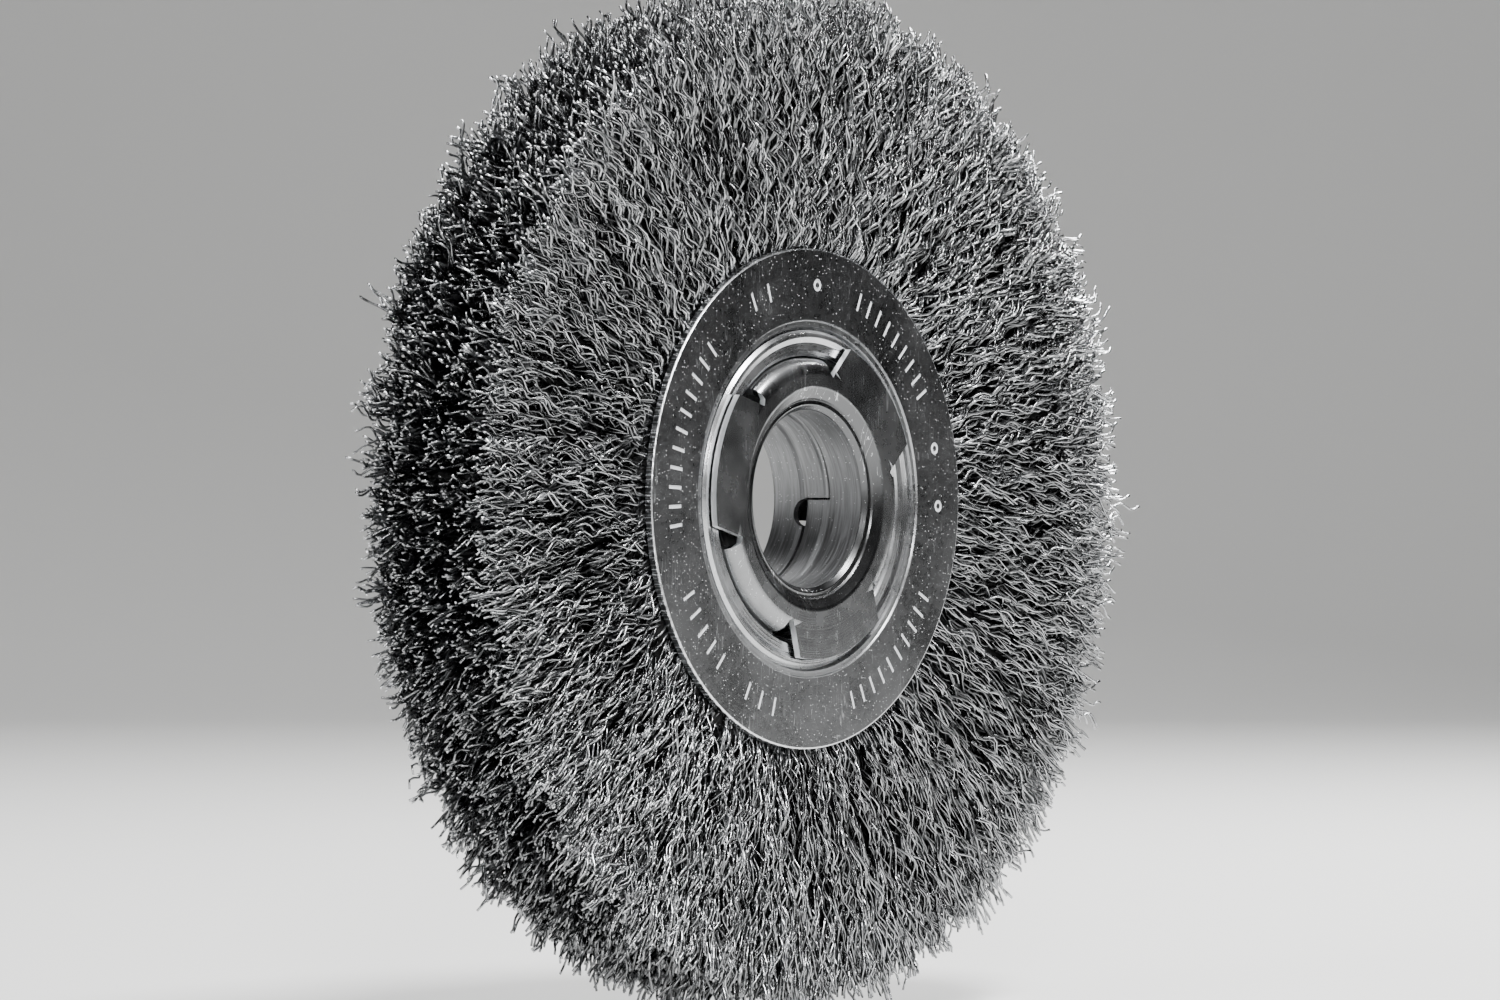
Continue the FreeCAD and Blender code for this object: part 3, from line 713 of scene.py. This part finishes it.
def deep_shade_finish():
    """The depth of a bundle, where hardly any light comes: painted shade, near-black wire drawn by lighter streaks
    along the radius.
    """
    material, tree, shader = new_material("deep_wire_painted_shade")
    place = use(tree, "place")
    across = maths(tree, "MULTIPLY", place["Turn"], 1500.0)
    along = maths(tree, "MULTIPLY", place["Radius"], 0.35)
    streak_place = node(tree, "CombineXYZ", {0: across, 1: along, 2: place["Height"]})
    streaks = node(tree, "TexNoise", {"Vector": streak_place.outputs[0], "Scale": 1.0, "Detail": 2.0}).outputs[0]
    lit = node(tree, "MapRange", {"Value": streaks, "From Min": 0.5, "From Max": 0.75}).outputs[0]
    colour = mixed(tree, lit, grey(0.006), grey(0.05))
    rough = maths(tree, "MULTIPLY_ADD", streaks, 0.3, 0.5)
    shader.inputs["Metallic"].default_value = 0.3
    link(tree, shader, Base_Color=colour, Roughness=rough, Normal=relief(tree, streaks, 0.2 * MM))
    return material


def dress(nodes, material):
    """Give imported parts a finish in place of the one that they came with."""
    for name in nodes:
        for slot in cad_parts[name].material_slots:
            slot.material = material


dress(["front_face_plate", "rear_face_plate"], plate_finish())
dress(["hub_sleeve"], sleeve_finish())
dress(["front_adaptor", "rear_adaptor"], adaptor_finish())
dress(["front_core_ring", "middle_core_ring", "rear_core_ring"], ring_finish())

wire_materials = [wire_finish(), deep_shade_finish()]
ROWS = (
    ("front", MIDDLE_ROW_SHARE, 1.0),
    ("middle", -MIDDLE_ROW_SHARE, MIDDLE_ROW_SHARE),
    ("rear", -1.0, -MIDDLE_ROW_SHARE),
)
for row_name, row_low, row_high in ROWS:
    for bundle_number in range(1, BUNDLES + 1):
        bundle(row_name, bundle_number, row_low, row_high, wire_materials)


# ---------------------------------------------------------------- studio

VIEW_TURN = math.radians(51.7)
BACK = Vector((-math.sin(VIEW_TURN), -math.cos(VIEW_TURN), 0))
RIGHT = Vector((math.cos(VIEW_TURN), -math.sin(VIEW_TURN), 0))
UP = Vector((0, 0, 1))
CAMERA_DISTANCE = 1.0
# Width of the view at the wheel.
FRAME_WIDTH = 1500 / 5.53 * MM
# The floor lies just under the lowest wire.
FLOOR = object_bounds()[0].z - 0.3 * MM
# Radius of the curve between the floor and the wall, and where it starts behind the wheel.
SWEEP_BEND = 0.7
SWEEP_START = 1.4


def aimed(thing, place, target=Vector((0, 0, 0))):
    """Put a camera or light somewhere and turn it towards a target."""
    thing.location = place
    thing.rotation_mode = "QUATERNION"
    thing.rotation_quaternion = (target - place).to_track_quat("-Z", "Y")
    bpy.context.collection.objects.link(thing)
    return thing


def make_camera():
    """The camera, level with the hub, to the left of the wheel's front."""
    data = bpy.data.cameras.new("camera")
    data.sensor_width = 36.0
    data.lens = data.sensor_width * CAMERA_DISTANCE / FRAME_WIDTH
    data.shift_x = -0.009
    data.shift_y = -0.0008
    data.clip_start = 0.05
    data.clip_end = 50.0
    bpy.context.scene.camera = aimed(bpy.data.objects.new("camera", data), BACK * CAMERA_DISTANCE)


def soft_light(name, side, up, behind, width, height, power):
    """A soft box at distances to the camera's right, upwards and towards the camera, aimed at the wheel.

    Distances and sizes are in metres, the power in watts.
    """
    data = bpy.data.lights.new(name, "AREA")
    data.shape = "RECTANGLE"
    data.size = width
    data.size_y = height
    data.energy = power
    aimed(bpy.data.objects.new(name, data), RIGHT * side + UP * up + BACK * behind)


def pale_sweep():
    """A pale floor that curves up into a wall behind the wheel: straight, a quarter circle, straight."""
    material = bpy.data.materials.new("pale_floor")
    material.use_nodes = True
    shader = material.node_tree.nodes["Principled BSDF"]
    shader.inputs["Base Color"].default_value = (0.8, 0.8, 0.79, 1)
    shader.inputs["Roughness"].default_value = 0.9
    arc = np.linspace(0, math.pi / 2, 17)
    deep = np.concatenate([[1.2], -SWEEP_START - SWEEP_BEND * np.sin(arc), [-SWEEP_START - SWEEP_BEND]])
    high = np.concatenate([[0.0], SWEEP_BEND - SWEEP_BEND * np.cos(arc), [2.5]])
    rows = []
    for side in (-3.0, 0.9):
        rows.append([RIGHT * side + BACK * d + UP * (FLOOR + h) for d, h in zip(deep, high)])
    count = len(deep)
    faces = [(i, i + 1, count + i + 1, count + i) for i in range(count - 1)]
    mesh = bpy.data.meshes.new("pale_floor")
    mesh.from_pydata([*rows[0], *rows[1]], [], faces)
    mesh.polygons.foreach_set("use_smooth", [True] * len(faces))
    mesh.materials.append(material)
    floor = bpy.data.objects.new("pale_floor", mesh)
    bpy.context.collection.objects.link(floor)


def dim_surroundings():
    """Dim surroundings for the steel to mirror, which the camera itself sees as pale."""
    world = bpy.data.worlds.new("studio")
    world.use_nodes = True
    tree = world.node_tree
    seen = node(tree, "LightPath").outputs["Is Camera Ray"]
    shade = mixed(tree, seen, (0.02, 0.02, 0.021), (0.72, 0.72, 0.71))
    tree.links.new(shade, tree.nodes["Background"].inputs["Color"])
    bpy.context.scene.world = world


make_camera()
pale_sweep()
dim_surroundings()
soft_light("left_front_strip", -0.66, 0.05, 0.75, 0.14, 0.7, 5.0)
soft_light("bore_light", -0.95, 0.08, 0.12, 0.2, 0.16, 0.7)
soft_light("top_soft_box", 0.35, 0.9, 0.3, 0.3, 0.2, 19.0)
soft_light("right_soft_box", 0.45, 0.7, -0.65, 0.25, 0.25, 19.0)
soft_light("front_fill", 0.1, 0.6, 1.3, 0.2, 0.2, 10.0)
soft_light("wall_light", 0.0, 1.4, -1.1, 1.6, 0.3, 10.0)
